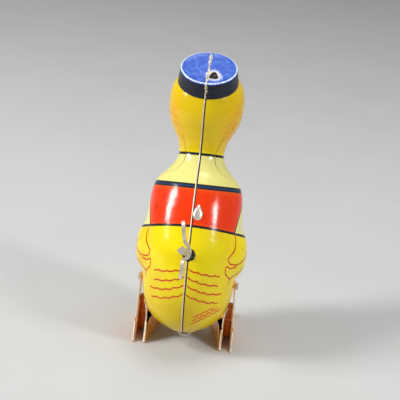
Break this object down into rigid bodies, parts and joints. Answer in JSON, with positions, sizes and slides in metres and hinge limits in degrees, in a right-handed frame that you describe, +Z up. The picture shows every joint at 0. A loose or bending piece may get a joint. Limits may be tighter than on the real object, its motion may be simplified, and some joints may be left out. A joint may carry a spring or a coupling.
{
  "type": "wind-up hopping chick",
  "caption": "Tinplate clockwork chick in a pillbox cap and vest that hops on two folded tin feet when wound with the key in its back.",
  "frame": {"origin": "on the ground, under the centre of the toy's bounding box; the toy rests on both feet", "axes": "+Y is the way the chick faces, +Z is up, +X is the chick's right-hand side; X = 0 is the plane of its seam"},
  "size_m": [0.0392, 0.0664, 0.0984],
  "materials": {
    "litho_tin": "glossy lithographed tinplate, yellow with red, blue and cream print",
    "orange_tin": "glossy orange lacquer on tinplate, bare at the cut edges",
    "tinned_steel": "plain tinned steel, dull with age",
    "plate_steel": "plain pressed steel, lightly oiled",
    "spring_steel": "blued spring steel",
    "gear_brass": "stamped brass"
  },
  "bodies": {
    "body": {"left_body_shell": "litho_tin", "right_body_shell": "litho_tin", "seam_tabs": "tinned_steel", "rear_plate": "plate_steel", "front_plate": "plate_steel", "plate_pillars": "plate_steel", "mainspring": "spring_steel"},
    "winder": {"winding_arbor": "tinned_steel", "ratchet_wheel": "spring_steel", "winding_key": "tinned_steel"},
    "great_wheel_group": {"great_wheel": "gear_brass", "click_pawl": "spring_steel", "click_rivet": "spring_steel", "click_spring": "spring_steel"},
    "intermediate_group": {"intermediate_arbor": "spring_steel", "intermediate_pinion": "gear_brass", "intermediate_wheel": "gear_brass"},
    "crank_group": {"crank_arbor": "spring_steel", "crank_pinion": "gear_brass", "crank_disc": "plate_steel", "crank_pin": "plate_steel"},
    "legs": {"hip_axle": "tinned_steel", "axle_heads": "tinned_steel", "axle_collars": "tinned_steel", "rocker_lever": "plate_steel", "left_foot": "orange_tin", "right_foot": "orange_tin"}
  },
  "joints": [
    {"name": "key_turn", "type": "hinge", "parent": "body", "child": "winder", "pos_m": [0, -0.00409, 0.03166], "axis": [0, -0.9397, 0.342], "continuous": true},
    {"name": "great_wheel_turn", "type": "hinge", "parent": "body", "child": "great_wheel_group", "pos_m": [0, -0.00409, 0.03166], "axis": [0, -0.9397, 0.342], "continuous": true},
    {"name": "intermediate_turn", "type": "hinge", "parent": "body", "child": "intermediate_group", "pos_m": [0.00785, -0.00226, 0.03669], "axis": [0, -0.9397, 0.342], "continuous": true},
    {"name": "crank_turn", "type": "hinge", "parent": "body", "child": "crank_group", "pos_m": [0.011, -0.00478, 0.02978], "axis": [0, -0.9397, 0.342], "continuous": true},
    {"name": "legs_rock", "type": "hinge", "parent": "body", "child": "legs", "pos_m": [0, -0.00611, 0.02175], "axis": [1, 0, 0], "range_deg": [-8, 8]}
  ],
  "couplings": [
    {"joint": "intermediate_turn", "follows": "great_wheel_turn", "ratio": -3.75},
    {"joint": "crank_turn", "follows": "great_wheel_turn", "ratio": 11.25}
  ]
}
